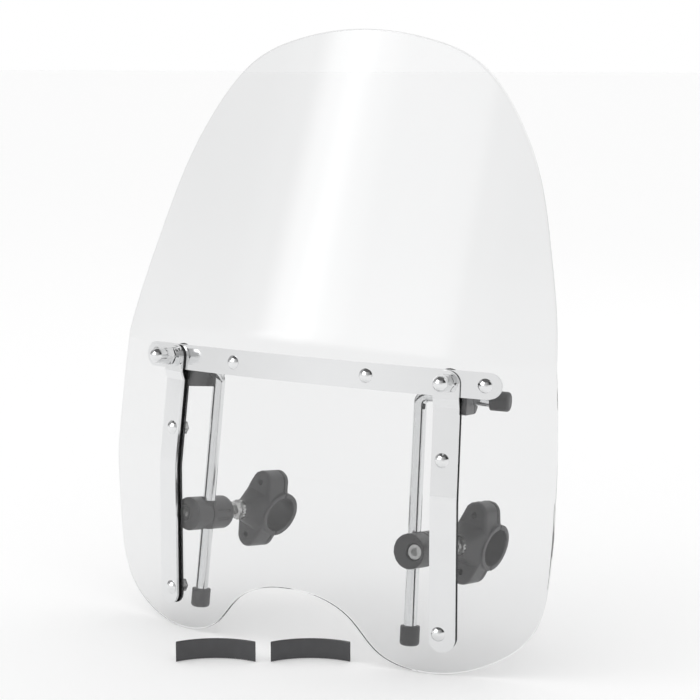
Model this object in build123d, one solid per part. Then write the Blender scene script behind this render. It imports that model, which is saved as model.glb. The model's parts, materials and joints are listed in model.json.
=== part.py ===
"""Clear handlebar windshield: a bent sheet on chrome straps, hung on two L-shaped rods with bar clamps."""

import math
import os

from build123d import *

# Clear sheet. X runs across, Y to the rear and Z up; heights are from the crossbar's centre line.
SHEET_THICKNESS = 3.0
SHEET_RADIUS = 488.0          # of the front face, across the sheet
SHEET_HALF_WIDTH = 203.0
SHEET_TOP = 258.0
LOBE_BOTTOM = -222.0
LOBE_X = 110.0
ARCH_TOP = -171.0             # middle of the headlight arch
LOWER_BEND = -88.0
UPPER_BEND = 20.0
MIDDLE_LEAN = 7.5             # degrees, top to the rear
UPPER_LEAN = 20.4
BEND_RADIUS = 70.0

# Chrome straps and the rubber under them.
STRAP_WIDTH = 20.0
STRAP_THICKNESS = 2.0
CROSSBAR_LENGTH = 326.0
CROSSBAR_GASKET = 1.0
STRAP_GASKET = 1.5
REAR_GASKET = 2.0
STRAP_X = 123.5
STRAP_TOP = 8.0
STRAP_BOTTOM = -204.0
JOGGLE_TOP = -13.0            # where the strap starts to step down off the crossbar
JOGGLE_DROP = 7.0
GASKET_SETBACK = 0.6          # rubber edge inside the strap's edge

# Dome-head bolts through the straps.
CROSSBAR_BOLT_X = (60.5, 150.5)
STRAP_BOLT_HEIGHTS = (-57.0, -190.0)
BOLT_RADIUS = 3.0
BOLT_HOLE_CLEARANCE = 0.4
DOME_RADIUS = 5.5
DOME_HEIGHT = 3.2
WASHER_RADIUS = 6.5
WASHER_THICKNESS = 1.2
RUBBER_WASHER_RADIUS = 7.0
NUT_FLATS = 10.0
NUT_HEIGHT = 4.5
BOLT_END = 1.8                # thread showing past the nut
SEAT_GAP = 0.08               # a flat washer on the sheet's hollow side touches at its rim

# Main bolts and acorn nuts, one at each crossing.
MAIN_BOLT_RADIUS = 4.0
MAIN_NUT_FLATS = 13.0
ACORN_HEX = 6.5
ACORN_HEIGHT = 18.0
ACORN_DOME_RADIUS = 6.2
FLAT_WASHER_RADIUS = 8.5
FLAT_WASHER_THICKNESS = 1.6
SPRING_WASHER_RADIUS = 7.0
SPRING_WASHER_THICKNESS = 2.1
SPRING_WASHER_SLOT = 1.2
BOLT_HEAD_HEIGHT = 5.3

# Two-piece blocks that hold the rods' short arms.
BLOCK_INNER = 7.5             # from the main bolt towards the middle of the screen
BLOCK_OUTER = 14.0
BLOCK_RISE = 6.5
ARM_DEPTH = 31.5              # arm axis behind the sheet's front face
ARM_DROP = 12.0               # arm axis below the main bolt
BLOCK_WALL = 11.5             # plastic round the arm, below and behind its axis
BLOCK_ROUND = 9.5
SPLIT_GAP = 1.0

# L-shaped rods.
ROD_RADIUS = 5.0
ROD_INSET = {"left": 14.5, "right": 28.5}   # upright axis, inboard of the main bolt
ELBOW_RADIUS = 7.0
ARM_REACH = 38.0              # end of the arm, outboard of the main bolt
ROD_LENGTH = 188.0            # from the arm's axis down to the rod's lower end
ROD_SPLAY = 1.5               # degrees, lower end outboard
CAP_RADIUS = 7.5
CAP_LENGTH = 15.0
CAP_FLOOR = 3.0
CAP_ROUND = 2.5
RUNNING_CLEARANCE = 0.05

# Knuckles: two halves that pinch a thin split liner on the rod.
KNUCKLE_DROP = {"left": 115.0, "right": 117.5}      # below the arm's axis, along the rod
KNUCKLE_TURN = {"left": 10.0, "right": 2.5}         # degrees about the rod
KNUCKLE_RADIUS = 13.5
KNUCKLE_FRONT = 16.5
KNUCKLE_REAR = 24.0
KNUCKLE_OFFSET = 5.8          # knuckle axis, outboard of the rod
PINCH_OFFSET = 4.5            # pinch bolt, outboard of the knuckle axis
LINER_WALL = 0.75
LINER_LENGTH = 23.0
RECESS_RADIUS = 6.6
RECESS_DEPTH = 9.5
KNUCKLE_ROUND = 4.0
GROOVE_COUNT = 12
GROOVE_WIDTH = 2.0
GROOVE_DEPTH = 0.9
GROOVE_START = 4.0            # behind the rod's axis
GROOVE_LENGTH = 14.0
SOCKET_HEAD_RADIUS = 6.1
SOCKET_HEAD_HEIGHT = 8.0
SOCKET_FLATS = 6.0
SOCKET_DEPTH = 4.0
LOCK_NUT_HEX = 5.5
LOCK_NUT_FLANGE = 2.8
LOCK_NUT_RADIUS = 8.3
LOCK_NUT_TEETH = 18
TOOTH_DEPTH = 0.7

# Handlebar clamps.
CLAMP_TURN = {"left": 15.0, "right": 13.0}          # degrees about the pinch bolt
BORE_RADIUS = 15.0
CLAMP_WIDTH = 31.0
BORE_DEPTH = 80.5             # bore axis behind the rod's axis
BOSS_LENGTH = 34.5            # boss face in front of the bore axis
BOSS_RADIUS = 8.5
BOSS_NECK = 3.5
BOSS_ROOT = (27.0, 31.0)      # across and along the lobes
CLAMP_FACE = 18.7             # lobe faces in front of the bore axis
CLAMP_REAR = 6.0
BARREL_WALL = 4.0
LOBE_RADIUS = 10.3
CLAMP_SCREW_OFFSET = 23.4
CLAMP_MIDDLE_HEIGHT = 32.0
CLAMP_ROUND = 3.0
CLAMP_SCREW_HOLE = 2.3
CLAMP_SCREW_LENGTH = 19.0
CLAMP_HEAD_RADIUS = 3.6
CLAMP_HEAD_HEIGHT = 4.0
CLAMP_SOCKET_FLATS = 3.0
CLAMP_SOCKET_DEPTH = 2.0
CLAMP_THREAD = 14.0           # bolt thread inside the boss
FACE_GAP = 0.1                # between faces that turn on each other

# Loose packing strips for thinner handlebars, standing on their edges in front of the arch.
STRIP_HEIGHT = 15.6
STRIP_CHORD = 61.0
STRIP_RADIUS = 53.0
STRIP_THICKNESS = 2.2
STRIP_TURN = 32.0             # degrees about the vertical
STRIP_PLACES = {"left": (-36.0, -60.0), "right": (25.5, -21.5)}

SIDES = {"left": -1, "right": 1}
SCREEN_REACH = 400.0          # longer than any cut through the sheet


def up_at(lean):
    return Vector(0, math.sin(math.radians(lean)), math.cos(math.radians(lean)))


def back_at(lean):
    return Vector(0, math.cos(math.radians(lean)), -math.sin(math.radians(lean)))


def centre_line_y(height):
    """Y of the sheet's front face on its middle line, below the upper bend."""
    return max(height, LOWER_BEND) * math.tan(math.radians(MIDDLE_LEAN))


def sheet_frame(x, height):
    """Plane on the front face: X across, Y straight back through the sheet, Z up along it."""
    lean = MIDDLE_LEAN if height > LOWER_BEND else 0.0
    turn = math.asin(x / SHEET_RADIUS)
    back = back_at(lean)
    hollow = SHEET_RADIUS * (1 - math.cos(turn))
    origin = Vector(x, centre_line_y(height), height) + back * hollow
    across = Vector(math.cos(turn), 0, 0) + back * math.sin(turn)
    return Plane(origin, x_dir=across, z_dir=up_at(lean))


def layer(front, rear):
    """The space between two depths behind the sheet's front face, bent as the sheet is."""
    foot = LOBE_BOTTOM - STRAP_WIDTH
    top = SHEET_TOP + STRAP_WIDTH
    run = (top - UPPER_BEND) * math.tan(math.radians(UPPER_LEAN))
    corners = [
        (0, centre_line_y(LOWER_BEND), foot),
        (0, centre_line_y(LOWER_BEND), LOWER_BEND),
        (0, centre_line_y(UPPER_BEND), UPPER_BEND),
        (0, centre_line_y(UPPER_BEND) + run, top),
    ]
    path = FilletPolyline(*corners, radius=BEND_RADIUS)
    spread = math.degrees(math.asin((SHEET_HALF_WIDTH + STRAP_WIDTH) / SHEET_RADIUS))
    centre_y = centre_line_y(LOWER_BEND) + SHEET_RADIUS

    def on_arc(depth, angle):
        radius = SHEET_RADIUS - depth
        turn = math.radians(angle)
        return Vector(radius * math.sin(turn), centre_y - radius * math.cos(turn), foot)

    outer = ThreePointArc(on_arc(front, -spread), on_arc(front, 0), on_arc(front, spread))
    inner = ThreePointArc(on_arc(rear, -spread), on_arc(rear, 0), on_arc(rear, spread))
    ends = [Line(outer @ 0, inner @ 0), Line(outer @ 1, inner @ 1)]
    return sweep(make_face([outer, inner, *ends]), path=path)


def through(outline, x=0):
    """A front-view outline cut right through the sheet, square to the sheet at x."""
    turn = math.asin(x / SHEET_RADIUS)
    hollow = SHEET_RADIUS * (1 - math.cos(turn))
    across = (math.cos(turn), math.sin(turn), 0)
    forward = (math.sin(turn), -math.cos(turn), 0)
    front = Plane((x, hollow, 0), x_dir=across, z_dir=forward)
    return extrude(front * outline, amount=SCREEN_REACH, both=True)


def pin(radius, start, end):
    """Cylinder along Y."""
    return Pos(0, (start + end) / 2, 0) * Rot(X=-90) * Cylinder(radius, end - start)


def hexagon(flats, start, end):
    """Hexagonal prism along Y."""
    outline = RegularPolygon(flats / 2, 6, major_radius=False)
    return Pos(0, start, 0) * Rot(X=-90) * extrude(outline, end - start)


def ring(radius, hole, start, end):
    return pin(radius, start, end) - pin(hole, start, end)


def dome(radius, height, face):
    """Domed head that stands forward of the face at Y = face."""
    ball = (radius**2 + height**2) / (2 * height)
    return Pos(0, face + ball - height, 0) * Sphere(ball) & pin(radius, face - height, face)


def sheet_outline():
    """Front view of the sheet: rounded top, long sides, two lobes and the arch between them."""
    side = [
        (0, SHEET_TOP),
        (60, SHEET_TOP - 7.5),
        (101, SHEET_TOP - 23.5),
        (139, SHEET_TOP - 64),
        (162, SHEET_TOP - 107),
        (180, SHEET_TOP - 165),
        (SHEET_HALF_WIDTH - 10, 38),
        (SHEET_HALF_WIDTH - 2, -36),
        (SHEET_HALF_WIDTH, -95),
        (SHEET_HALF_WIDTH - 3, -145),
        (SHEET_HALF_WIDTH - 16, -191),
        (160, LOBE_BOTTOM + 10),
        (LOBE_X, LOBE_BOTTOM),
        (74, LOBE_BOTTOM + 12),
        (52, ARCH_TOP - 16),
        (26, ARCH_TOP - 3),
        (0, ARCH_TOP),
    ]
    other = [(-x, z) for x, z in side[-2:0:-1]]
    return make_face(Spline(*side, *other, periodic=True))


def bar_outline(length, width):
    front = Plane((0, 0, 0), x_dir=(1, 0, 0), z_dir=back_at(MIDDLE_LEAN) * -1)
    return extrude(front * SlotOverall(length, width), amount=SCREEN_REACH, both=True)


def column(x, width, bottom, top, round_bottom=False, round_top=False):
    """Upright strip outline; a rounded end is a half circle."""
    half = width / 2
    low = bottom + half * round_bottom
    high = top - half * round_top
    outline = Pos(0, (low + high) / 2) * Rectangle(width, high - low)
    for wanted, height in ((round_bottom, low), (round_top, high)):
        if wanted:
            outline += Pos(0, height) * Circle(half)
    return through(outline, x)


def stepped_strip(x, width, depths, raised, bottom, top):
    """Strip on the sheet whose upper end steps forward over the crossbar."""
    low = layer(*depths) & column(x, width, bottom, JOGGLE_TOP - JOGGLE_DROP, round_bottom=True)
    high = layer(*raised) & column(x, width, JOGGLE_TOP, top, round_top=True)
    step = loft([low.faces().sort_by(Axis.Z)[-1], high.faces().sort_by(Axis.Z)[0]], ruled=True)
    return low + step + high


def holes(frames, radius):
    return [frame * pin(radius, -SCREEN_REACH / 8, SCREEN_REACH / 8) for frame in frames]


crossbar_frames = [sheet_frame(x * side, 0) for x in CROSSBAR_BOLT_X for side in (-1, 1)]
crossing_frames = {name: sheet_frame(side * STRAP_X, 0) for name, side in SIDES.items()}
strap_frames = {
    name: [sheet_frame(side * STRAP_X, height) for height in STRAP_BOLT_HEIGHTS]
    for name, side in SIDES.items()
}
all_strap_frames = strap_frames["left"] + strap_frames["right"]

crossbar_front = -(CROSSBAR_GASKET + STRAP_THICKNESS)
strap_front = -(STRAP_GASKET + STRAP_THICKNESS)
raised_gasket_front = crossbar_front - STRAP_GASKET
raised_strap_front = raised_gasket_front - STRAP_THICKNESS
rear_rubber = SHEET_THICKNESS + REAR_GASKET
bolt_hole = BOLT_RADIUS + BOLT_HOLE_CLEARANCE
main_hole = MAIN_BOLT_RADIUS + BOLT_HOLE_CLEARANCE


def small_hardware(frames, front_face):
    """Bolts, flat washers and nuts of one group of dome-head bolts."""
    washer_start = rear_rubber + SEAT_GAP
    nut_start = washer_start + WASHER_THICKNESS
    nut_end = nut_start + NUT_HEIGHT
    bolt = dome(DOME_RADIUS, DOME_HEIGHT, front_face) + pin(BOLT_RADIUS, front_face, nut_end + BOLT_END)
    washer = ring(WASHER_RADIUS, BOLT_RADIUS, washer_start, nut_start)
    nut = hexagon(NUT_FLATS, nut_start, nut_end) - pin(BOLT_RADIUS, nut_start, nut_end)
    return [Compound([frame * piece for frame in frames]) for piece in (bolt, washer, nut)]


def make_screen():
    sheet = layer(0, SHEET_THICKNESS) & through(sheet_outline())
    small = holes(crossbar_frames + all_strap_frames, bolt_hole)
    return sheet - small - holes(crossing_frames.values(), main_hole)


def make_crossbar(front, rear, setback):
    width = STRAP_WIDTH - 2 * setback
    bar = layer(front, rear) & bar_outline(CROSSBAR_LENGTH - 2 * setback, width)
    return bar - holes(crossbar_frames, bolt_hole) - holes(crossing_frames.values(), main_hole)


def make_strap(name):
    x = SIDES[name] * STRAP_X
    depths = (strap_front, -STRAP_GASKET)
    raised = (raised_strap_front, raised_gasket_front)
    strap = stepped_strip(x, STRAP_WIDTH, depths, raised, STRAP_BOTTOM, STRAP_TOP)
    return strap - holes(strap_frames[name], bolt_hole) - holes([crossing_frames[name]], main_hole)


def make_strap_gasket(name):
    x = SIDES[name] * STRAP_X
    width = STRAP_WIDTH - 2 * GASKET_SETBACK
    bottom = STRAP_BOTTOM + GASKET_SETBACK
    top = STRAP_TOP - GASKET_SETBACK
    raised = (raised_gasket_front, crossbar_front)
    gasket = stepped_strip(x, width, (-STRAP_GASKET, 0), raised, bottom, top)
    return gasket - holes(strap_frames[name], bolt_hole) - holes([crossing_frames[name]], main_hole)


def make_rear_gasket(name):
    x = SIDES[name] * STRAP_X
    outline = column(x, STRAP_WIDTH, STRAP_BOTTOM, STRAP_TOP, round_bottom=True, round_top=True)
    gasket = layer(SHEET_THICKNESS, rear_rubber) & outline
    return gasket - holes(strap_frames[name], bolt_hole) - holes([crossing_frames[name]], main_hole)


def make_crossing_hardware():
    """Flat washer, spring washer, acorn nut and through bolt at each crossing."""
    flat_start = raised_strap_front - FLAT_WASHER_THICKNESS
    spring_start = flat_start - SPRING_WASHER_THICKNESS
    tip = spring_start - ACORN_HEIGHT
    neck = tip + ACORN_DOME_RADIUS
    flat = ring(FLAT_WASHER_RADIUS, MAIN_BOLT_RADIUS, flat_start, raised_strap_front)
    spring = ring(SPRING_WASHER_RADIUS, MAIN_BOLT_RADIUS, spring_start, flat_start)
    slot = Box(SPRING_WASHER_RADIUS, SPRING_WASHER_THICKNESS * 2, SPRING_WASHER_SLOT)
    spring -= Pos(SPRING_WASHER_RADIUS, spring_start, 0) * slot
    thread_end = spring_start - ACORN_HEX
    acorn = hexagon(MAIN_NUT_FLATS, spring_start - ACORN_HEX, spring_start)
    acorn += pin(ACORN_DOME_RADIUS, neck, spring_start)
    acorn += Pos(0, neck, 0) * Sphere(ACORN_DOME_RADIUS)
    acorn -= pin(MAIN_BOLT_RADIUS, thread_end, spring_start)
    head_start = ARM_DEPTH + BLOCK_WALL
    head_end = head_start + BOLT_HEAD_HEIGHT
    bolt = pin(MAIN_BOLT_RADIUS, thread_end, head_start) + hexagon(MAIN_NUT_FLATS, head_start, head_end)
    frames = crossing_frames.values()
    return [Compound([frame * piece for frame in frames]) for piece in (flat, spring, acorn, bolt)]


def make_block(name):
    """Front saddle and rear cap of the block that holds a rod's short arm."""
    side = SIDES[name]
    inner = -side * BLOCK_INNER
    outer = side * BLOCK_OUTER
    bottom = -(ARM_DROP + BLOCK_WALL)
    rear = ARM_DEPTH + BLOCK_WALL
    body = Pos((inner + outer) / 2, rear / 2, (bottom + BLOCK_RISE) / 2) * Box(
        BLOCK_INNER + BLOCK_OUTER, rear, BLOCK_RISE - bottom
    )
    body = fillet(body.edges().filter_by(Axis.X).group_by(Axis.Y)[-1], BLOCK_ROUND)
    body = fillet(body.edges().filter_by(Axis.X).group_by(Axis.Z)[0], BLOCK_ROUND)
    arm = Pos(0, ARM_DEPTH, -ARM_DROP) * Rot(Y=90) * Cylinder(ROD_RADIUS + RUNNING_CLEARANCE, SCREEN_REACH)
    body -= [arm, pin(main_hole, 0, rear)]
    half = Box(SCREEN_REACH, SCREEN_REACH, SCREEN_REACH)
    reach = (SCREEN_REACH + SPLIT_GAP) / 2
    frame = crossing_frames[name]
    saddle = frame * (body & Pos(0, ARM_DEPTH - reach, 0) * half) - layer(-STRAP_WIDTH, rear_rubber)
    cap = frame * (body & Pos(0, ARM_DEPTH + reach, 0) * half)
    return saddle, cap


def end_cap(end):
    """Rubber cap pushed on a rod that ends at Z = end and points down."""
    cap = Pos(0, 0, end - CAP_FLOOR + CAP_LENGTH / 2) * Cylinder(CAP_RADIUS, CAP_LENGTH)
    cap = fillet(cap.edges().group_by(Axis.Z)[0], CAP_ROUND)
    return cap - Pos(0, 0, end + CAP_LENGTH / 2) * Cylinder(ROD_RADIUS, CAP_LENGTH)


def upright_frame(name):
    """Where the arm's axis meets the upright's, with Z up the upright."""
    side = SIDES[name]
    corner = Pos(-side * ROD_INSET[name], ARM_DEPTH, -ARM_DROP)
    return crossing_frames[name] * corner * Rot(Y=-side * ROD_SPLAY)


def make_rod(name):
    """Rod bent once, with a cap on each end, in the frame of its crossing."""
    side = SIDES[name]
    frame = crossing_frames[name] * Pos(-side * ROD_INSET[name], ARM_DEPTH, -ARM_DROP)
    arm_end = side * (ROD_INSET[name] + ARM_REACH)
    foot = Rot(Y=-side * ROD_SPLAY) * Pos(0, 0, -ROD_LENGTH)
    route = FilletPolyline(foot.position, (0, 0, 0), (arm_end, 0, 0), radius=ELBOW_RADIUS)
    start = Plane(route @ 0, z_dir=route % 0)
    rod = sweep(start * Circle(ROD_RADIUS), path=route)
    top_cap = Pos(arm_end, 0, 0) * Rot(Y=-90 * side) * end_cap(0)
    return frame * rod, frame * top_cap, upright_frame(name) * end_cap(-ROD_LENGTH)


def knuckle_frame(name):
    """On the rod's axis: X across, Y to the rear along the knuckle, Z up the rod."""
    crossing_turn = math.degrees(math.asin(STRAP_X / SHEET_RADIUS)) * SIDES[name]
    place = Pos(0, 0, -KNUCKLE_DROP[name]) * Rot(Z=-crossing_turn - KNUCKLE_TURN[name])
    return upright_frame(name) * place


def make_liner(name):
    """Thin split sleeve between rod and knuckle."""
    hole = ROD_RADIUS + RUNNING_CLEARANCE
    tube = Cylinder(hole + LINER_WALL, LINER_LENGTH) - Cylinder(hole, LINER_LENGTH)
    slot = Pos(-SIDES[name] * hole, 0, 0) * Box(hole, SPLIT_GAP, LINER_LENGTH)
    return knuckle_frame(name) * (tube - slot)


def knuckle_body(name):
    side = SIDES[name]
    axis = Pos(side * KNUCKLE_OFFSET, 0, 0)
    body = pin(KNUCKLE_RADIUS, -KNUCKLE_FRONT, KNUCKLE_REAR)
    ends = body.edges().filter_by(GeomType.CIRCLE).sort_by(Axis.Y)
    body = fillet(ends[-1], KNUCKLE_ROUND)
    liner = ROD_RADIUS + RUNNING_CLEARANCE + LINER_WALL + RUNNING_CLEARANCE
    groove = Pos(0, GROOVE_START + GROOVE_LENGTH / 2, KNUCKLE_RADIUS) * Box(
        GROOVE_WIDTH, GROOVE_LENGTH, 2 * GROOVE_DEPTH
    )
    for index in range(GROOVE_COUNT):
        turn = 360 * (index + 0.5) / GROOVE_COUNT
        x = KNUCKLE_RADIUS * math.sin(math.radians(turn))
        if abs(x + side * KNUCKLE_OFFSET) > liner - GROOVE_WIDTH:
            body -= Rot(Y=turn) * groove
    body = axis * body - Cylinder(liner, 3 * KNUCKLE_RADIUS)
    bolt_axis = Pos(side * (KNUCKLE_OFFSET + PINCH_OFFSET), 0, 0)
    body -= bolt_axis * pin(MAIN_BOLT_RADIUS, -KNUCKLE_FRONT, KNUCKLE_REAR)
    return body - bolt_axis * pin(RECESS_RADIUS, -KNUCKLE_FRONT, RECESS_DEPTH - KNUCKLE_FRONT)


def make_knuckle(name):
    frame = knuckle_frame(name)
    body = knuckle_body(name)
    half = Box(SCREEN_REACH, SCREEN_REACH, SCREEN_REACH)
    reach = (SCREEN_REACH + SPLIT_GAP) / 2
    return frame * (body & Pos(0, -reach, 0) * half), frame * (body & Pos(0, reach, 0) * half)


def pinch_frame(name):
    """The knuckle's frame moved out to the pinch bolt's axis."""
    return knuckle_frame(name) * Pos(SIDES[name] * (KNUCKLE_OFFSET + PINCH_OFFSET), 0, 0)


def make_pinch_hardware(name):
    """Socket-head bolt, washer at the knuckle's rear, and flanged lock nut at the clamp's boss."""
    seat = RECESS_DEPTH - KNUCKLE_FRONT
    boss = BORE_DEPTH - BOSS_LENGTH
    flange = boss - FACE_GAP - LOCK_NUT_FLANGE
    head = pin(SOCKET_HEAD_RADIUS, seat - SOCKET_HEAD_HEIGHT, seat)
    head = fillet(head.edges().sort_by(Axis.Y)[0], TOOTH_DEPTH)
    socket = seat - SOCKET_HEAD_HEIGHT
    bolt = head - hexagon(SOCKET_FLATS, socket, socket + SOCKET_DEPTH)
    bolt += pin(MAIN_BOLT_RADIUS, seat, boss + CLAMP_THREAD)
    washer = ring(LOCK_NUT_RADIUS, MAIN_BOLT_RADIUS, KNUCKLE_REAR, KNUCKLE_REAR + WASHER_THICKNESS)
    washer = washer & pin(KNUCKLE_RADIUS - KNUCKLE_ROUND, KNUCKLE_REAR, BORE_DEPTH)
    nut = hexagon(MAIN_NUT_FLATS, flange - LOCK_NUT_HEX, flange)
    nut += pin(LOCK_NUT_RADIUS, flange, flange + LOCK_NUT_FLANGE)
    tooth = Pos(LOCK_NUT_RADIUS, flange + LOCK_NUT_FLANGE / 2, 0) * Box(
        2 * TOOTH_DEPTH, LOCK_NUT_FLANGE, 2 * TOOTH_DEPTH
    )
    nut -= [Rot(Y=360 * index / LOCK_NUT_TEETH) * tooth for index in range(LOCK_NUT_TEETH)]
    nut -= pin(MAIN_BOLT_RADIUS, flange - LOCK_NUT_HEX, flange + LOCK_NUT_FLANGE)
    frame = pinch_frame(name)
    return frame * bolt, frame * washer, frame * nut


def clamp_frame(name):
    """On the bore's axis: X along the bore, Y to the rear, Z from screw to screw."""
    return pinch_frame(name) * Pos(0, BORE_DEPTH, 0) * Rot(Y=CLAMP_TURN[name])


def clamp_outline():
    """Seen from the front: two screw lobes joined to a wider middle."""
    lobes = [Pos(0, side * CLAMP_SCREW_OFFSET) * Circle(LOBE_RADIUS) for side in (-1, 1)]
    middle = Rectangle(CLAMP_WIDTH, CLAMP_MIDDLE_HEIGHT / 2)
    return make_hull((lobes[0] + lobes[1] + middle).edges())


def make_clamp(name):
    """Front half with its boss, rear half, and the two screws between them."""
    plate = Rot(X=90) * extrude(clamp_outline(), SCREEN_REACH, both=True)
    slab = Pos(0, (CLAMP_REAR - CLAMP_FACE) / 2, 0) * Box(
        SCREEN_REACH, CLAMP_FACE + CLAMP_REAR, SCREEN_REACH
    )
    slab = plate & slab
    slab = fillet(slab.edges().group_by(Axis.Y)[0] + slab.edges().group_by(Axis.Y)[-1], CLAMP_ROUND)
    barrel = Rot(Y=90) * Cylinder(BORE_RADIUS + BARREL_WALL, CLAMP_WIDTH)
    root = Plane((0, -CLAMP_FACE, 0), x_dir=(1, 0, 0), z_dir=(0, -1, 0))
    neck = Plane((0, BOSS_NECK - BOSS_LENGTH, 0), x_dir=(1, 0, 0), z_dir=(0, -1, 0))
    boss = loft([root * RectangleRounded(*BOSS_ROOT, 2 * CLAMP_ROUND), neck * Circle(BOSS_RADIUS)])
    boss += pin(BOSS_RADIUS, -BOSS_LENGTH, BOSS_NECK - BOSS_LENGTH)
    body = slab + barrel + boss - Rot(Y=90) * Cylinder(BORE_RADIUS, 2 * CLAMP_WIDTH)
    thread = pin(MAIN_BOLT_RADIUS + RUNNING_CLEARANCE, -BOSS_LENGTH, FACE_GAP + CLAMP_THREAD - BOSS_LENGTH)
    body -= thread
    screws = [Pos(0, 0, side * CLAMP_SCREW_OFFSET) for side in (-1, 1)]
    body -= [place * pin(CLAMP_SCREW_HOLE, -CLAMP_FACE, CLAMP_REAR) for place in screws]
    half = Box(SCREEN_REACH, SCREEN_REACH, SCREEN_REACH)
    reach = (SCREEN_REACH + SPLIT_GAP) / 2
    head_end = CLAMP_REAR + CLAMP_HEAD_HEIGHT
    screw = pin(CLAMP_SCREW_HOLE, CLAMP_REAR - CLAMP_SCREW_LENGTH, CLAMP_REAR)
    screw += pin(CLAMP_HEAD_RADIUS, CLAMP_REAR, head_end)
    screw -= hexagon(CLAMP_SOCKET_FLATS, head_end - CLAMP_SOCKET_DEPTH, head_end)
    frame = clamp_frame(name)
    front = frame * (body & Pos(0, -reach, 0) * half)
    rear = frame * (body & Pos(0, reach, 0) * half)
    return front, rear, Compound([frame * place * screw for place in screws])


def make_strip(name):
    """Bent rubber strip on its edge, hollow side to the front."""
    x, y = STRIP_PLACES[name]
    half_angle = math.degrees(math.asin(STRIP_CHORD / 2 / STRIP_RADIUS))
    depth = STRIP_RADIUS * math.cos(math.radians(half_angle))
    tube = Cylinder(STRIP_RADIUS + STRIP_THICKNESS, STRIP_HEIGHT) - Cylinder(STRIP_RADIUS, STRIP_HEIGHT)
    wedge = Pos(0, STRIP_RADIUS, 0) * Box(STRIP_CHORD, 2 * STRIP_RADIUS, STRIP_HEIGHT)
    place = Pos(x, y, LOBE_BOTTOM + STRIP_HEIGHT / 2) * Rot(Z=STRIP_TURN) * Pos(0, -depth, 0)
    return place * (tube & wedge)


nodes = {"screen": make_screen()}
nodes["crossbar"] = make_crossbar(crossbar_front, -CROSSBAR_GASKET, 0)
nodes["crossbar_gasket"] = make_crossbar(-CROSSBAR_GASKET, 0, GASKET_SETBACK)
bolts, washers, nuts = small_hardware(crossbar_frames, crossbar_front)
nodes["crossbar_bolts"] = bolts
nodes["crossbar_washers"] = washers
nodes["crossbar_nuts"] = nuts
rubber = ring(RUBBER_WASHER_RADIUS, bolt_hole, SHEET_THICKNESS + SEAT_GAP, rear_rubber + SEAT_GAP)
nodes["crossbar_rubber_washers"] = Compound([frame * rubber for frame in crossbar_frames])
bolts, washers, nuts = small_hardware(all_strap_frames, strap_front)
nodes["strap_bolts"] = bolts
nodes["strap_washers"] = washers
nodes["strap_nuts"] = nuts
flat_washers, spring_washers, acorn_nuts, main_bolts = make_crossing_hardware()
nodes["flat_washers"] = flat_washers
nodes["spring_washers"] = spring_washers
nodes["acorn_nuts"] = acorn_nuts
nodes["main_bolts"] = main_bolts
for name in SIDES:
    nodes[f"strap_{name}"] = make_strap(name)
    nodes[f"strap_gasket_{name}"] = make_strap_gasket(name)
    nodes[f"rear_gasket_{name}"] = make_rear_gasket(name)
    nodes[f"rod_block_front_{name}"], nodes[f"rod_block_rear_{name}"] = make_block(name)
    rod, top_cap, bottom_cap = make_rod(name)
    nodes[f"rod_{name}"] = rod
    nodes[f"rod_top_cap_{name}"] = top_cap
    nodes[f"rod_bottom_cap_{name}"] = bottom_cap
    nodes[f"rod_liner_{name}"] = make_liner(name)
    nodes[f"knuckle_front_{name}"], nodes[f"knuckle_rear_{name}"] = make_knuckle(name)
    pinch_bolt, pinch_washer, lock_nut = make_pinch_hardware(name)
    nodes[f"pinch_bolt_{name}"] = pinch_bolt
    nodes[f"pinch_washer_{name}"] = pinch_washer
    nodes[f"lock_nut_{name}"] = lock_nut
    clamp_front, clamp_rear, clamp_screws = make_clamp(name)
    nodes[f"clamp_front_{name}"] = clamp_front
    nodes[f"clamp_rear_{name}"] = clamp_rear
    nodes[f"clamp_screws_{name}"] = clamp_screws
    nodes[f"packing_strip_{name}"] = make_strip(name)

# The origin is the middle of the whole footprint, on the surface that the lobes stand on.
box = Compound(list(nodes.values())).bounding_box()
origin = Vector((box.min.X + box.max.X) / 2, (box.min.Y + box.max.Y) / 2, box.min.Z)

if __name__ == "__main__":
    os.makedirs("parts", exist_ok=True)
    for node, shape in nodes.items():
        export_step(Pos(*(origin * -1)) * shape, f"parts/{node}.step")
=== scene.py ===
import bpy
import bmesh
import json
import math
import numpy as np
from mathutils import Matrix, Vector


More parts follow.
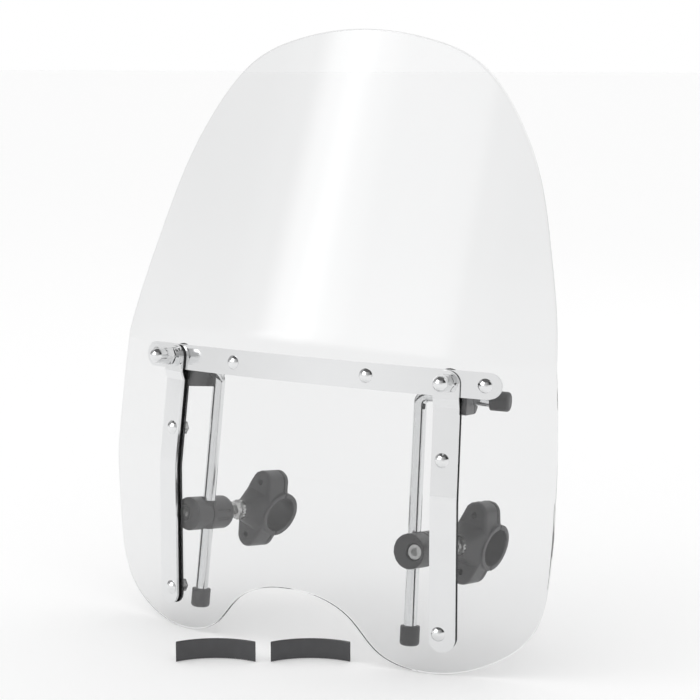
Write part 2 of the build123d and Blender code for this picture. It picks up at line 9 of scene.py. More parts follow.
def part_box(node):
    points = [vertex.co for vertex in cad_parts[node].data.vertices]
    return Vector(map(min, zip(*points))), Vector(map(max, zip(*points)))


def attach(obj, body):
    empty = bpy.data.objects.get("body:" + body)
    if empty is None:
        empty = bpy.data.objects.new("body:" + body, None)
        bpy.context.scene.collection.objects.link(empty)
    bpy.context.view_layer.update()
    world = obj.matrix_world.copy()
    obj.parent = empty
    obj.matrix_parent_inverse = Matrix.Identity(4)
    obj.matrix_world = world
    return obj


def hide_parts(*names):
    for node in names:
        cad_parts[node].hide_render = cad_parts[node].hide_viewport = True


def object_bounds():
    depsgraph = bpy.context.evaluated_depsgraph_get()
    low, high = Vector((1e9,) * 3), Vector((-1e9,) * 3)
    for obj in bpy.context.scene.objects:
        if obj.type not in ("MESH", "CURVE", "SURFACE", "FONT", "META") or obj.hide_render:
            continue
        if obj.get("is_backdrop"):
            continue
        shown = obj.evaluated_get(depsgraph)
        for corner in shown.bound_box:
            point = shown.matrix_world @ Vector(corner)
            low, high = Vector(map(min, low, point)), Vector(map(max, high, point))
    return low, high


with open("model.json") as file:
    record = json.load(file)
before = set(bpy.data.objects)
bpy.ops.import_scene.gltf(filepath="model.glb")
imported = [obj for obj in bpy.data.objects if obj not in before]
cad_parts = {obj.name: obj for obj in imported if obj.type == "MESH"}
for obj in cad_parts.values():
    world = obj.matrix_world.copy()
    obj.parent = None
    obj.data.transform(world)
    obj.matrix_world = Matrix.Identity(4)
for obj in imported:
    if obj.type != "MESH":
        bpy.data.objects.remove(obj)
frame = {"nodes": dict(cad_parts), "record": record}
nodes = frame["nodes"]
cad_low, cad_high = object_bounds()

# Camera. A long lens at the rider's left, a little above the middle of the screen and turned
# slightly down, so the front of the sheet and the inner side of the left block both show.
CAMERA_TURN = math.radians(32.1)
CAMERA_RISE = math.radians(8.48)
CAMERA_DISTANCE = 1.468
CAMERA_LENS = 100.4
CAMERA_SENSOR = 36
CAMERA_AIM = Vector((0.0461, -0.0238, 0.0001))

aim = (cad_low + cad_high) / 2 + CAMERA_AIM
away = Vector((
    math.sin(CAMERA_TURN) * math.cos(CAMERA_RISE),
    -math.cos(CAMERA_TURN) * math.cos(CAMERA_RISE),
    math.sin(CAMERA_RISE),
))
camera_data = bpy.data.cameras.new("camera")
camera_data.sensor_width = CAMERA_SENSOR
camera_data.lens = CAMERA_LENS
camera = bpy.data.objects.new("camera", camera_data)
camera.location = aim + away * CAMERA_DISTANCE
camera.rotation_mode = "QUATERNION"
camera.rotation_quaternion = (-away).to_track_quat("-Z", "Y")
bpy.context.collection.objects.link(camera)
bpy.context.scene.camera = camera

# Studio. White paper floor and white walls. What the chrome mirrors is not all white: it holds the
# soft boxes and the darker gaps between them, as (bearing from straight ahead, brightness), low down
# and higher up, under a dark ceiling.
FLOOR_REACH = 60.0
FLOOR_WHITE = 0.75
FLOOR_GLOW = 0.22
FLOOR_GAP = 0.0002            # under the lowest piece, so that no faces coincide
LIGHT_TARGET = Vector((0, 0, 0.25))
LOW_WALL = [
    (-180, 0.9), (-140, 0.8), (-118, 0.12), (-98, 0.12), (-84, 0.78), (-60, 0.88), (-25, 1.0),
    (8, 0.92), (30, 0.75), (70, 0.95), (120, 0.9), (150, 0.1), (170, 0.12), (180, 0.9),
]
HIGH_WALL = [
    (-180, 1.2), (-120, 0.7), (-90, 0.35), (-62, 0.45), (-51, 0.9), (-43, 3.7), (-38, 5.0),
    (-31, 3.4), (-24, 2.6), (-10, 2.5), (-3, 2.3), (2, 1.0), (12, 0.6), (60, 0.3), (76, 0.05),
    (104, 0.05), (118, 0.9), (180, 1.2),
]
WALL_BREAK = (0.17, 0.36)     # sines of the height where the low wall gives way to the high one
CEILING_BREAK = (0.74, 0.84)  # and where that gives way to the ceiling
CEILING = 0.16

bpy.context.scene.view_settings.view_transform = "Standard"
world = bpy.data.worlds.new("studio")
bpy.context.scene.world = world
world.use_nodes = True
tree = world.node_tree
tree.nodes.clear()
place = tree.nodes.new("ShaderNodeTexCoord")
parts = tree.nodes.new("ShaderNodeSeparateXYZ")
tree.links.new(place.outputs["Generated"], parts.inputs[0])
ahead = tree.nodes.new("ShaderNodeMath")
ahead.operation = "MULTIPLY"
ahead.inputs[1].default_value = -1
tree.links.new(parts.outputs["Y"], ahead.inputs[0])
bearing = tree.nodes.new("ShaderNodeMath")
bearing.operation = "ARCTAN2"
tree.links.new(parts.outputs["X"], bearing.inputs[0])
tree.links.new(ahead.outputs[0], bearing.inputs[1])
share = tree.nodes.new("ShaderNodeMapRange")
share.inputs["From Min"].default_value = -math.pi
share.inputs["From Max"].default_value = math.pi
tree.links.new(bearing.outputs[0], share.inputs["Value"])
walls = []
for stops in (LOW_WALL, HIGH_WALL):
    brightest = max(value for _, value in stops)
    wall = tree.nodes.new("ShaderNodeValToRGB")
    wall.color_ramp.interpolation = "EASE"
    while len(wall.color_ramp.elements) < len(stops):
        wall.color_ramp.elements.new(0.5)
    for element, (degrees, value) in zip(wall.color_ramp.elements, stops):
        element.position = (degrees + 180) / 360
        element.color = (value / brightest, value / brightest, value / brightest, 1)
    glow = tree.nodes.new("ShaderNodeBackground")
    glow.inputs["Strength"].default_value = brightest
    tree.links.new(share.outputs["Result"], wall.inputs["Fac"])
    tree.links.new(wall.outputs["Color"], glow.inputs["Color"])
    walls.append(glow)
ceiling = tree.nodes.new("ShaderNodeBackground")
ceiling.inputs["Strength"].default_value = CEILING
mirrored = walls[0]
for upper, heights in ((walls[1], WALL_BREAK), (ceiling, CEILING_BREAK)):
    rise = tree.nodes.new("ShaderNodeMapRange")
    rise.interpolation_type = "SMOOTHSTEP"
    rise.inputs["From Min"].default_value, rise.inputs["From Max"].default_value = heights
    tree.links.new(parts.outputs["Z"], rise.inputs["Value"])
    stacked = tree.nodes.new("ShaderNodeMixShader")
    tree.links.new(rise.outputs["Result"], stacked.inputs[0])
    tree.links.new(mirrored.outputs[0], stacked.inputs[1])
    tree.links.new(upper.outputs[0], stacked.inputs[2])
    mirrored = stacked
paper = tree.nodes.new("ShaderNodeBackground")
paper.inputs["Color"].default_value = (1, 1, 1, 1)
seen = tree.nodes.new("ShaderNodeLightPath")
mirror_ray = tree.nodes.new("ShaderNodeMath")
mirror_ray.operation = "SUBTRACT"
mirror_ray.use_clamp = True
tree.links.new(seen.outputs["Is Glossy Ray"], mirror_ray.inputs[0])
tree.links.new(seen.outputs["Is Transmission Ray"], mirror_ray.inputs[1])
choice = tree.nodes.new("ShaderNodeMixShader")
tree.links.new(mirror_ray.outputs[0], choice.inputs[0])
tree.links.new(paper.outputs[0], choice.inputs[1])
tree.links.new(mirrored.outputs[0], choice.inputs[2])
surround = tree.nodes.new("ShaderNodeOutputWorld")
tree.links.new(choice.outputs[0], surround.inputs["Surface"])

floor_mesh = bpy.data.meshes.new("floor")
corners = [(x * FLOOR_REACH, y * FLOOR_REACH, 0) for x, y in ((-1, -1), (1, -1), (1, 1), (-1, 1))]
floor_mesh.from_pydata(corners, [], [(0, 1, 2, 3)])
floor_paint = bpy.data.materials.new("paper")
floor_paint.use_nodes = True
paint = floor_paint.node_tree.nodes["Principled BSDF"].inputs
paint["Base Color"].default_value = (*[FLOOR_WHITE] * 3, 1)
paint["Roughness"].default_value = 0.9
paint["Specular IOR Level"].default_value = 0.1
paint["Emission Color"].default_value = (1, 1, 1, 1)
paint["Emission Strength"].default_value = FLOOR_GLOW
floor_mesh.materials.append(floor_paint)
floor = bpy.data.objects.new("floor", floor_mesh)
floor.location.z = cad_low.z - FLOOR_GAP
bpy.context.collection.objects.link(floor)
floor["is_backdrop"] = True


def soft_box(name, place, size, power):
    """Square soft light aimed at the middle of the screen; chrome mirrors the painted walls instead."""
    light = bpy.data.lights.new(name, "AREA")
    light.shape = "RECTANGLE"
    light.size, light.size_y = size
    light.energy = power
    lamp = bpy.data.objects.new(name, light)
    lamp.location = place
    lamp.rotation_mode = "QUATERNION"
    lamp.rotation_quaternion = (Vector(place) - LIGHT_TARGET).to_track_quat("Z", "Y")
    lamp.visible_glossy = False
    lamp.visible_transmission = False
    bpy.context.collection.objects.link(lamp)


soft_box("key_box", (-1.6, -1.5, 2.2), (1.2, 1.2), 5)
soft_box("rear_box", (0.3, 2.2, 1.6), (1.6, 1.0), 2)

# Sheet. Clear 3 mm acrylic, cut to a rounded outline with two lobes and an arch over the headlight,
# bent round the rider and folded back twice by heat; its edge is flame-polished round.
MM = 0.001
SHEET_THICKNESS = 3.0 * MM
SHEET_RADIUS = 488.0 * MM
SHEET_FOOT = -245.0 * MM      # heights are from the crossbar's centre line
LOWER_BEND = -88.0 * MM
UPPER_BEND = 20.0 * MM
MIDDLE_LEAN = math.radians(7.5)
UPPER_LEAN = math.radians(20.4)
BEND_RADIUS = 70.0 * MM
EDGE_ROUND = 0.8 * MM
PATH_STEP = 0.5 * MM
PATH_COUNT = 1100
HALF_OUTLINE = [
    (0, 258), (60, 250.5), (101, 234.5), (139, 194), (162, 151), (180, 93), (193, 38), (201, -36),
    (203, -95), (200, -145), (187, -191), (160, -212), (110, -222), (74, -210), (52, -187),
    (26, -174), (0, -171),
]
AROUND = 288
RINGS = 52
RIM_START = 1.6               # where the flat face ends, in edge radii inside the outline
RIM_ANGLES = (0, 22.5, 45, 67.5, 90)
SHEET_MIDDLE = (0, 30.0 * MM)
ACRYLIC_TINT = ((0.855, 0.858, 0.86), (0.873, 0.876, 0.878))
# Seats and holes are in millimetres, as (X, height).
BOLT_SEATS = [(side * x, 0) for x in (60.5, 150.5) for side in (-1, 1)]
STRAP_SEATS = [(side * 123.5, height) for height in (-57, -190) for side in (-1, 1)]
CROSSING_SEATS = [(side * 123.5, 0) for side in (-1, 1)]
SMALL_HOLE = 3.4
MAIN_HOLE = 4.4
DRILL_REACH = 9


def sheet_path():
    """Y, Z and lean up the middle of the front face, in even steps, integrated from bend to bend."""
    y, z, lean = LOWER_BEND * math.tan(MIDDLE_LEAN), SHEET_FOOT, 0.0
    starts = [
        LOWER_BEND - BEND_RADIUS * math.tan(MIDDLE_LEAN / 2),
        UPPER_BEND - BEND_RADIUS * math.tan((UPPER_LEAN - MIDDLE_LEAN) / 2) * math.cos(MIDDLE_LEAN),
    ]
    rows = []
    for _ in range(PATH_COUNT):
        rows.append((y, z, lean))
        target = 0.0 if z < starts[0] else MIDDLE_LEAN if z < starts[1] else UPPER_LEAN
        turned = min(target, lean + PATH_STEP / BEND_RADIUS)
        y += PATH_STEP * math.sin((lean + turned) / 2)
        z += PATH_STEP * math.cos((lean + turned) / 2)
        lean = turned
    return np.array(rows).T


path_y, path_z, path_lean = sheet_path()


def sheet_y(x, z, depth):
    """Y of the sheet at a place in its front view, that deep behind the front face."""
    hollow = SHEET_RADIUS - math.sqrt((SHEET_RADIUS - depth) ** 2 - x * x)
    heights = path_z - hollow * np.sin(path_lean)
    return float(np.interp(z, heights, path_y + hollow * np.cos(path_lean)))


def closed_curve(points, count):
    """Even steps along the smooth closed curve through the points."""
    points = np.array(points, float)
    size = len(points)
    spans = np.linalg.norm(np.roll(points, -1, 0) - points, axis=1)
    left, right = np.zeros((size, size)), np.zeros((size, 2))
    for i in range(size):
        before, after, j = spans[i - 1], spans[i], (i + 1) % size
        left[i, i - 1] += before
        left[i, i] += 2 * (before + after)
        left[i, j] += after
        right[i] = 6 * ((points[j] - points[i]) / after - (points[i] - points[i - 1]) / before)
    bend = np.linalg.solve(left, right)
    knots = np.concatenate(([0], np.cumsum(spans)))
    curve = []
    for along in np.linspace(0, knots[-1], count, endpoint=False):
        i = min(int(np.searchsorted(knots, along, side="right")) - 1, size - 1)
        h, a, b = spans[i], knots[i + 1] - along, along - knots[i]
        j = (i + 1) % size
        curve.append(
            (bend[i] * a**3 + bend[j] * b**3) / (6 * h)
            + (points[i] / h - bend[i] * h / 6) * a
            + (points[j] / h - bend[j] * h / 6) * b
        )
    return np.array(curve)


body_of_node = {n: body for body, members in frame["record"]["behaviour"]["bodies"].items() for n in members}


def add_piece(name, mesh, material, node):
    """Object in the row frame that stands for a node of the frame and moves with its body."""
    mesh.materials.clear()
    mesh.materials.append(material)
    piece = bpy.data.objects.new(name, mesh)
    bpy.context.collection.objects.link(piece)
    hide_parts(node)
    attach(piece, body_of_node[node])
    return piece


def shade(mesh, degrees=35):
    """Smooth faces, with a crease wherever two meet at more than the angle."""
    mesh.shade_smooth()
    mesh.set_sharp_from_angle(angle=math.radians(degrees))


def seat(x, height):
    """Place on the front face at a seat's X and height, turned so that +Y goes straight back."""
    x, height = x * MM, height * MM
    lean = MIDDLE_LEAN if height > LOWER_BEND else 0.0
    turn = math.asin(x / SHEET_RADIUS)
    back = Vector((0, math.cos(lean), -math.sin(lean)))
    across = Vector((math.cos(turn), 0, 0)) + back * math.sin(turn)
    inward = back * math.cos(turn) - Vector((math.sin(turn), 0, 0))
    up = across.cross(inward)
    place = Vector((x, max(height, LOWER_BEND) * math.tan(MIDDLE_LEAN), height))
    place += back * SHEET_RADIUS * (1 - math.cos(turn))
    turned = Matrix((across, inward, up)).transposed().to_4x4()
    return Matrix.Translation(place) @ turned


def revolve(mesh, profile, place, count=48):
    """Adds a solid turned about the place's Y from a profile of (radius, Y) in millimetres."""
    loops = []
    for radius, y in profile:
        if radius == 0:
            loops.append([mesh.verts.new(place @ Vector((0, y * MM, 0)))])
            continue
        turns = [2 * math.pi * k / count for k in range(count)]
        ring = [Vector((radius * math.cos(turn), y, radius * math.sin(turn))) * MM for turn in turns]
        loops.append([mesh.verts.new(place @ point) for point in ring])
    for near, far in zip(loops, loops[1:]):
        for k in range(count):
            n = k + 1
            face = [near[k % len(near)], near[n % len(near)], far[n % len(far)], far[k % len(far)]]
            mesh.faces.new(list(dict.fromkeys(face)))


half = [(x * MM, z * MM) for x, z in HALF_OUTLINE]
outline = closed_curve(half + [(-x, z) for x, z in half[-2:0:-1]], AROUND)
along = np.roll(outline, -1, 0) - np.roll(outline, 1, 0)
along /= np.linalg.norm(along, axis=1)[:, None]
outward = np.column_stack((-along[:, 1], along[:, 0]))
middle = np.array(SHEET_MIDDLE)
rings = []
inner_edge = outline - outward * EDGE_ROUND * RIM_START
for ring_number in range(1, RINGS + 1):
    rings.append((middle + (inner_edge - middle) * ring_number / RINGS, 0.0))
for angle in RIM_ANGLES:
    inset = EDGE_ROUND * (1 - math.sin(math.radians(angle)))
    rings.append((outline - outward * inset, EDGE_ROUND * (1 - math.cos(math.radians(angle)))))
faces_in = [(points, SHEET_THICKNESS - depth) for points, depth in reversed(rings)]
sheet = bmesh.new()
loops = [
    [sheet.verts.new((x, sheet_y(x, z, depth), z)) for x, z in points] for points, depth in rings + faces_in
]
for near, far in zip(loops, loops[1:]):
    for k in range(AROUND):
        n = (k + 1) % AROUND
        sheet.faces.new((near[k], near[n], far[n], far[k]))
for loop, depth in ((loops[0], 0.0), (loops[-1], SHEET_THICKNESS)):
    hub = sheet.verts.new((middle[0], sheet_y(*middle, depth), middle[1]))
    for k in range(AROUND):
        sheet.faces.new((hub, loop[k], loop[(k + 1) % AROUND]))
bmesh.ops.recalc_face_normals(sheet, faces=sheet.faces)
sheet_mesh = bpy.data.meshes.new("sheet")
sheet.to_mesh(sheet_mesh)
own = np.array([v.co for v in sheet_mesh.vertices])
low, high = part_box("screen")
bar_centre = (low + high) / 2 - Vector((own.min(0) + own.max(0)) / 2)
at_bar = Matrix.Translation(bar_centre)
sheet_mesh.transform(at_bar)

cutter = bmesh.new()
for seats, radius in ((BOLT_SEATS + STRAP_SEATS, SMALL_HOLE), (CROSSING_SEATS, MAIN_HOLE)):
    for x, height in seats:
        drill = [(0, -DRILL_REACH), (radius, -DRILL_REACH), (radius, DRILL_REACH), (0, DRILL_REACH)]
        revolve(cutter, drill, at_bar @ seat(x, height))
bmesh.ops.recalc_face_normals(cutter, faces=cutter.faces)
cutter_mesh = bpy.data.meshes.new("drill")
cutter.to_mesh(cutter_mesh)
blank = bpy.data.objects.new("blank", sheet_mesh)
drill = bpy.data.objects.new("drill", cutter_mesh)
bpy.context.collection.objects.link(blank)
bpy.context.collection.objects.link(drill)
drilling = blank.modifiers.new("drilling", "BOOLEAN")
drilling.operation = "DIFFERENCE"
drilling.object = drill
drilling.solver = "EXACT"
bpy.context.view_layer.update()
drilled = bpy.data.meshes.new_from_object(blank.evaluated_get(bpy.context.evaluated_depsgraph_get()))
bpy.data.objects.remove(blank)
bpy.data.objects.remove(drill)
shade(drilled)

acrylic = bpy.data.materials.new("clear_acrylic")
acrylic.use_nodes = True
tree = acrylic.node_tree
shader = tree.nodes["Principled BSDF"]
shader.inputs["IOR"].default_value = 1.49
shader.inputs["Transmission Weight"].default_value = 1.0
where = tree.nodes.new("ShaderNodeTexCoord")
flow = tree.nodes.new("ShaderNodeTexNoise")
flow.inputs["Scale"].default_value = 7
flow.inputs["Detail"].default_value = 1
tree.links.new(where.outputs["Object"], flow.inputs["Vector"])
tint = tree.nodes.new("ShaderNodeValToRGB")
for element, colour in zip(tint.color_ramp.elements, ACRYLIC_TINT):
    element.color = (*colour, 1)
tree.links.new(flow.outputs["Fac"], tint.inputs["Fac"])
tree.links.new(tint.outputs["Color"], shader.inputs["Base Color"])
polish = tree.nodes.new("ShaderNodeMapRange")
polish.inputs["To Min"].default_value = 0.0
polish.inputs["To Max"].default_value = 0.012
tree.links.new(flow.outputs["Fac"], polish.inputs["Value"])
tree.links.new(polish.outputs["Result"], shader.inputs["Roughness"])
add_piece("clear_sheet", drilled, acrylic, "screen")

# Crossbar and straps. Flat steel strip, bent to the sheet, polished and chromed; each strap's upper
# end is joggled over the crossbar. The plate shows faint polishing lines along the strip.
CHROME = (0.81, 0.815, 0.82)


def metal(name, colour, roughness, wear, line_scale, line_strength):
    """Bright metal: a slightly uneven tone, and fine lines from polishing."""
    material = bpy.data.materials.new(name)
    material.use_nodes = True
    tree = material.node_tree
    shader = tree.nodes["Principled BSDF"]
    shader.inputs["Metallic"].default_value = 1.0
    where = tree.nodes.new("ShaderNodeTexCoord")
    cloud = tree.nodes.new("ShaderNodeTexNoise")
    cloud.inputs["Scale"].default_value = 55
    cloud.inputs["Detail"].default_value = 5
    tree.links.new(where.outputs["Object"], cloud.inputs["Vector"])
    tone = tree.nodes.new("ShaderNodeValToRGB")
    tone.color_ramp.elements[0].color = (*[c * (1 - wear) for c in colour], 1)
    tone.color_ramp.elements[1].color = (*colour, 1)
    tree.links.new(cloud.outputs["Fac"], tone.inputs["Fac"])
    tree.links.new(tone.outputs["Color"], shader.inputs["Base Color"])
    gloss = tree.nodes.new("ShaderNodeMapRange")
    gloss.inputs["To Min"].default_value = roughness * 0.8
    gloss.inputs["To Max"].default_value = roughness * 1.3
    tree.links.new(cloud.outputs["Fac"], gloss.inputs["Value"])
    tree.links.new(gloss.outputs["Result"], shader.inputs["Roughness"])
    drawn = tree.nodes.new("ShaderNodeMapping")
    drawn.inputs["Scale"].default_value = line_scale
    tree.links.new(where.outputs["Object"], drawn.inputs["Vector"])
    lines = tree.nodes.new("ShaderNodeTexNoise")
    lines.inputs["Scale"].default_value = 1.0
    tree.links.new(drawn.outputs["Vector"], lines.inputs["Vector"])
    bump = tree.nodes.new("ShaderNodeBump")
    bump.inputs["Strength"].default_value = line_strength
    bump.inputs["Distance"].default_value = 0.0001
    tree.links.new(lines.outputs["Fac"], bump.inputs["Height"])
    tree.links.new(bump.outputs["Normal"], shader.inputs["Normal"])
    return material


def dress(material, *names):
    for name in names:
        nodes[name].data.materials.clear()
        nodes[name].data.materials.append(material)


chrome_bar = metal(
    "chrome_bar", CHROME, roughness=0.10, wear=0.04, line_scale=(60, 900, 900), line_strength=0.05
)
chrome_strap = metal(
    "chrome_strap", CHROME, roughness=0.08, wear=0.04, line_scale=(900, 900, 60), line_strength=0.05
)
dress(chrome_bar, "crossbar")
dress(chrome_strap, "strap_left", "strap_right")

# Gaskets and rubber washers. Dull black rubber punched from sheet, one under the crossbar, one before
# and one behind the screen at each strap; the cut edge is a little rough.
RUBBER = (0.028, 0.028, 0.029)


def soft_black(name, colour, roughness, mottle, grain, grain_scale, **uniform):
    """Rubber or moulded plastic: mottled tone, uneven sheen and a fine surface grain."""
    material = bpy.data.materials.new(name)
    material.use_nodes = True
    tree = material.node_tree
    shader = tree.nodes["Principled BSDF"]
    for socket, value in uniform.items():
        shader.inputs[socket.replace("_", " ")].default_value = value
    where = tree.nodes.new("ShaderNodeTexCoord")
    cloud = tree.nodes.new("ShaderNodeTexNoise")
    cloud.inputs["Scale"].default_value = 90
    cloud.inputs["Detail"].default_value = 8
    tree.links.new(where.outputs["Object"], cloud.inputs["Vector"])
    tone = tree.nodes.new("ShaderNodeValToRGB")
    tone.color_ramp.elements[0].position = 0.3
    tone.color_ramp.elements[0].color = (*[c * (1 - mottle) for c in colour], 1)
    tone.color_ramp.elements[1].position = 0.7
    tone.color_ramp.elements[1].color = (*[c * (1 + mottle) for c in colour], 1)
    tree.links.new(cloud.outputs["Fac"], tone.inputs["Fac"])
    tree.links.new(tone.outputs["Color"], shader.inputs["Base Color"])
    sheen = tree.nodes.new("ShaderNodeMapRange")
    sheen.inputs["To Min"].default_value = roughness * 0.82
    sheen.inputs["To Max"].default_value = min(1.0, roughness * 1.18)
    tree.links.new(cloud.outputs["Fac"], sheen.inputs["Value"])
    tree.links.new(sheen.outputs["Result"], shader.inputs["Roughness"])
    pits = tree.nodes.new("ShaderNodeTexNoise")
    pits.inputs["Scale"].default_value = grain_scale
    pits.inputs["Detail"].default_value = 3
    tree.links.new(where.outputs["Object"], pits.inputs["Vector"])
    bump = tree.nodes.new("ShaderNodeBump")
    bump.inputs["Strength"].default_value = grain
    bump.inputs["Distance"].default_value = 0.0002
    tree.links.new(pits.outputs["Fac"], bump.inputs["Height"])
    tree.links.new(bump.outputs["Normal"], shader.inputs["Normal"])
    return material


gasket_rubber = soft_black(
    "gasket_rubber", RUBBER, roughness=0.7, mottle=0.2, grain=0.35, grain_scale=1400
)
dress(gasket_rubber, "crossbar_gasket", "crossbar_rubber_washers")
for side in ("left", "right"):
    dress(gasket_rubber, f"strap_gasket_{side}", f"rear_gasket_{side}")

# Small bolts. M6 dome heads, turned and chromed, four through the crossbar and four through the
# straps, each with a rolled thread whose end shows behind its nut.
DOME_RADIUS = 5.5             # these sizes are in millimetres
DOME_HEIGHT = 3.2
DOME_RIM = 0.4                # straight rim under the crown
DOME_STEPS = 14
RIM_ROUND = 0.15
SHANK = 3.0
THREAD_LENGTH = 6
PITCH = 1.0
THREAD_DEPTH = 0.35
BAR_FACE = -3.0
STRAP_FACE = -3.5
SHANK_END = 12.58
chrome_bolt = metal(
    "chrome_bolt", CHROME, roughness=0.07, wear=0.05, line_scale=(400, 400, 400), line_strength=0.04
)


def thread(start, end, radius, pitch, depth):
    """Profile of a rolled thread as rings, with a chamfered end."""
    rows, y = [], start
    while y + pitch < end - depth:
        rows += [(radius - depth, y + 0.1 * pitch), (radius, y + 0.4 * pitch)]
        rows += [(radius, y + 0.6 * pitch), (radius - depth, y + 0.9 * pitch)]
        y += pitch
    return rows + [(radius - depth, end - depth), (radius - 2 * depth, end), (0, end)]


small_bolts = (("crossbar_bolts", BOLT_SEATS, BAR_FACE), ("strap_bolts", STRAP_SEATS, STRAP_FACE))
for name, seats, face in small_bolts:
    crown = DOME_HEIGHT - DOME_RIM
    ball = (DOME_RADIUS**2 + crown**2) / (2 * crown)
    turns = [math.asin(DOME_RADIUS / ball) * step / DOME_STEPS for step in range(DOME_STEPS + 1)]
    profile = [(ball * math.sin(turn), face - DOME_HEIGHT + ball * (1 - math.cos(turn))) for turn in turns]
    profile += [(DOME_RADIUS, face - RIM_ROUND), (DOME_RADIUS - RIM_ROUND, face), (SHANK, face)]
    profile += thread(SHANK_END - THREAD_LENGTH, SHANK_END, SHANK, PITCH, THREAD_DEPTH)
    bolts = bmesh.new()
    for x, height in seats:
        revolve(bolts, profile, at_bar @ seat(x, height))
    bmesh.ops.recalc_face_normals(bolts, faces=bolts.faces)
    mesh = bpy.data.meshes.new(name + "_turned")
    bolts.to_mesh(mesh)
    shade(mesh)
    add_piece(name + "_turned", mesh, chrome_bolt, name)

# Nuts and washers behind the sheet. Zinc-plated steel, duller and greyer than the chrome, drawn up
# against the rubber on the sheet's hollow side.
ZINC = (0.52, 0.52, 0.515)
zinc = metal("zinc_plate", ZINC, roughness=0.15, wear=0.3, line_scale=(700, 700, 700), line_strength=0.12)
dress(zinc, "crossbar_washers", "crossbar_nuts", "strap_washers", "strap_nuts")

# Acorn nuts, spring washers and flat washers at the crossings, all chromed. The acorn is a hexagon
# with turned corners under a smooth dome.
ACORN_FLATS = 13.0            # these sizes are in millimetres
ACORN_HEX = 6.5
ACORN_HEIGHT = 18.0
ACORN_DOME = 6.2
ACORN_CORNER = 7.2            # radius the hexagon's corners are turned down to at its faces
ACORN_BORE = 4.0
ACORN_STEP = 0.6              # how far the dome reaches into the hexagon
ACORN_SEAT = -11.2            # seat of the nut in front of the sheet


def hexagon(mesh, flats, start, end, corner, hole, place, around=72):
    """Adds a hexagonal collar with corners turned off at 30 degrees at both faces and a hole through it."""
    slope = math.tan(math.radians(30))
    angles = [2 * math.pi * k / around for k in range(around)]
    steps = [0, 0.25, 0.5, 0.8, 1.3]
    depths = [start + step for step in steps] + [end - step for step in reversed(steps)]
    rows = [(start, [hole] * around)]
    for y in depths:
        turned = corner + min(y - start, end - y) / slope
        flat = [flats / 2 / math.cos(angle % (math.pi / 3) - math.pi / 6) for angle in angles]
        rows.append((y, [min(radius, turned) for radius in flat]))
    rows.append((end, [hole] * around))
    loops = []
    for y, radii in rows:
        turns = [angle + math.pi / 6 for angle in angles]
        ring = [Vector((r * math.sin(turn), y, r * math.cos(turn))) * MM for r, turn in zip(radii, turns)]
        loops.append([mesh.verts.new(place @ point) for point in ring])
    for near, far in zip(loops, loops[1:] + loops[:1]):
        for k in range(around):
            n = (k + 1) % around
            mesh.faces.new((near[k], near[n], far[n], far[k]))


acorns = bmesh.new()
for x, height in CROSSING_SEATS:
    place = at_bar @ seat(x, height)
    shoulder = ACORN_SEAT - ACORN_HEX
    hexagon(acorns, ACORN_FLATS, shoulder, ACORN_SEAT, ACORN_CORNER, ACORN_BORE, place)
    neck = ACORN_SEAT - ACORN_HEIGHT + ACORN_DOME
    turns = [math.radians(turn) for turn in range(0, 91, 9)]
    profile = [(ACORN_DOME * math.sin(turn), neck - ACORN_DOME * math.cos(turn)) for turn in turns]
    profile += [(ACORN_DOME, shoulder + ACORN_STEP), (0, shoulder + ACORN_STEP)]
    revolve(acorns, profile, place)
bmesh.ops.recalc_face_normals(acorns, faces=acorns.faces)
mesh = bpy.data.meshes.new("acorn_nuts_turned")
acorns.to_mesh(mesh)
shade(mesh, 28)
add_piece("acorn_nuts_turned", mesh, chrome_bolt, "acorn_nuts")
dress(chrome_bolt, "flat_washers", "spring_washers", "main_bolts")

# Blocks, knuckles and clamps. Glass-filled nylon, moulded black with a fine satin grain; every corner
# carries the small radius of its mould, and the split lines stay sharp.
NYLON = (0.047, 0.047, 0.049)
MOULD_CELL = 0.6 * MM
MOULD_PASSES = 5
MOULD_FACES = 16000
nylon = soft_black("black_nylon", NYLON, roughness=0.42, mottle=0.12, grain=0.3, grain_scale=1100)


def moulded(name, material, cell=MOULD_CELL, passes=MOULD_PASSES, faces=MOULD_FACES):
    """The node's shape remeshed finely and relaxed, so that its corners come out rounded."""
    copy = bpy.data.objects.new(name, nodes[name].data.copy())
    bpy.context.collection.objects.link(copy)
    welding = copy.modifiers.new("welding", "WELD")
    welding.merge_threshold = 1e-6
    casting = copy.modifiers.new("casting", "REMESH")
    casting.mode = "VOXEL"
    casting.voxel_size = cell
    easing = copy.modifiers.new("easing", "SMOOTH")
    easing.iterations = passes
    bpy.context.view_layer.update()
    made = bpy.data.meshes.new_from_object(copy.evaluated_get(bpy.context.evaluated_depsgraph_get()))
    copy.modifiers.clear()
    copy.data = made
    if len(made.polygons) > faces:
        thinning = copy.modifiers.new("thinning", "DECIMATE")
        thinning.ratio = faces / len(made.polygons)
        bpy.context.view_layer.update()
        made = bpy.data.meshes.new_from_object(copy.evaluated_get(bpy.context.evaluated_depsgraph_get()))
    bpy.data.objects.remove(copy)
    shade(made, 50)
    return add_piece(name + "_moulded", made, material, name)


for side in ("left", "right"):
    for kind in ("rod_block_front", "rod_block_rear", "knuckle_front"):
        moulded(f"{kind}_{side}", nylon)
    moulded(f"knuckle_rear_{side}", nylon, cell=0.4 * MM, passes=2, faces=30000)
    for kind in ("clamp_front", "clamp_rear"):
        moulded(f"{kind}_{side}", nylon, cell=0.5 * MM, passes=4, faces=24000)

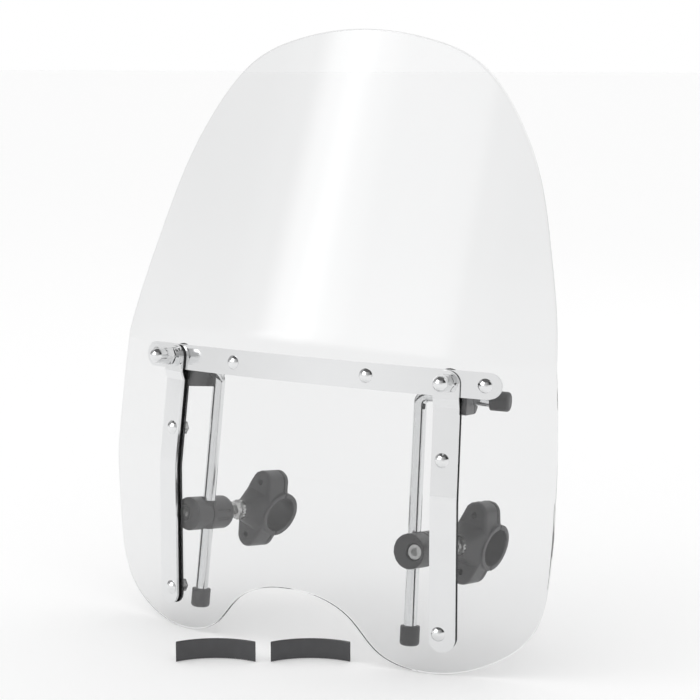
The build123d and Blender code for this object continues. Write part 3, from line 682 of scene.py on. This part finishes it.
# Rods. 10 mm steel bar bent once and chromed, pushed into soft rubber caps at both ends.
CAP_RUBBER = (0.045, 0.045, 0.047)
chrome_rod = metal(
    "chrome_rod", CHROME, roughness=0.06, wear=0.03, line_scale=(500, 500, 40), line_strength=0.03
)
cap_rubber = soft_black(
    "cap_rubber", CAP_RUBBER, roughness=0.5, mottle=0.15, grain=0.3, grain_scale=1000
)
dress(chrome_rod, "rod_left", "rod_right")
for side in ("left", "right"):
    for kind in ("rod_top_cap", "rod_bottom_cap"):
        moulded(f"{kind}_{side}", cap_rubber, cell=0.5 * MM, passes=4, faces=7000)

# Liners. Thin split sleeves of smooth grey-black acetal between rod and knuckle; the knuckle's bolt
# closes them on the rod.
ACETAL = (0.05, 0.05, 0.052)
acetal = soft_black("acetal", ACETAL, roughness=0.3, mottle=0.1, grain=0.1, grain_scale=900)
dress(acetal, "rod_liner_left", "rod_liner_right")

# Knuckle hardware. A long socket-head bolt runs through both halves into the clamp's boss, with a
# plain washer at the knuckle and a serrated flange nut locked against the boss. All zinc plated.
for side in ("left", "right"):
    dress(zinc, f"pinch_bolt_{side}", f"pinch_washer_{side}", f"lock_nut_{side}")

# Clamp screws. Socket heads in black oxide, two through each rear half, threaded into the front
# half so that the clamp closes on the handlebar.
BLACK_OXIDE = (0.06, 0.06, 0.065)
black_oxide = metal(
    "black_oxide", BLACK_OXIDE, roughness=0.35, wear=0.3, line_scale=(800, 800, 800), line_strength=0.2
)
dress(black_oxide, "clamp_screws_left", "clamp_screws_right")

# Packing strips. Loose curved strips of firm black rubber with a satin moulded face, for bars
# thinner than the bore; they stand on their long edges.
STRIP = (0.026, 0.026, 0.029)
STRIP_SHEEN = {"Coat_Weight": 0.7, "Coat_Roughness": 0.22, "Coat_IOR": 1.5}
strip_rubber = soft_black(
    "strip_rubber", STRIP, roughness=0.36, mottle=0.15, grain=0.15, grain_scale=900, **STRIP_SHEEN
)
for side in ("left", "right"):
    moulded(f"packing_strip_{side}", strip_rubber, cell=0.4 * MM, passes=3, faces=9000)

low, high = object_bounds()
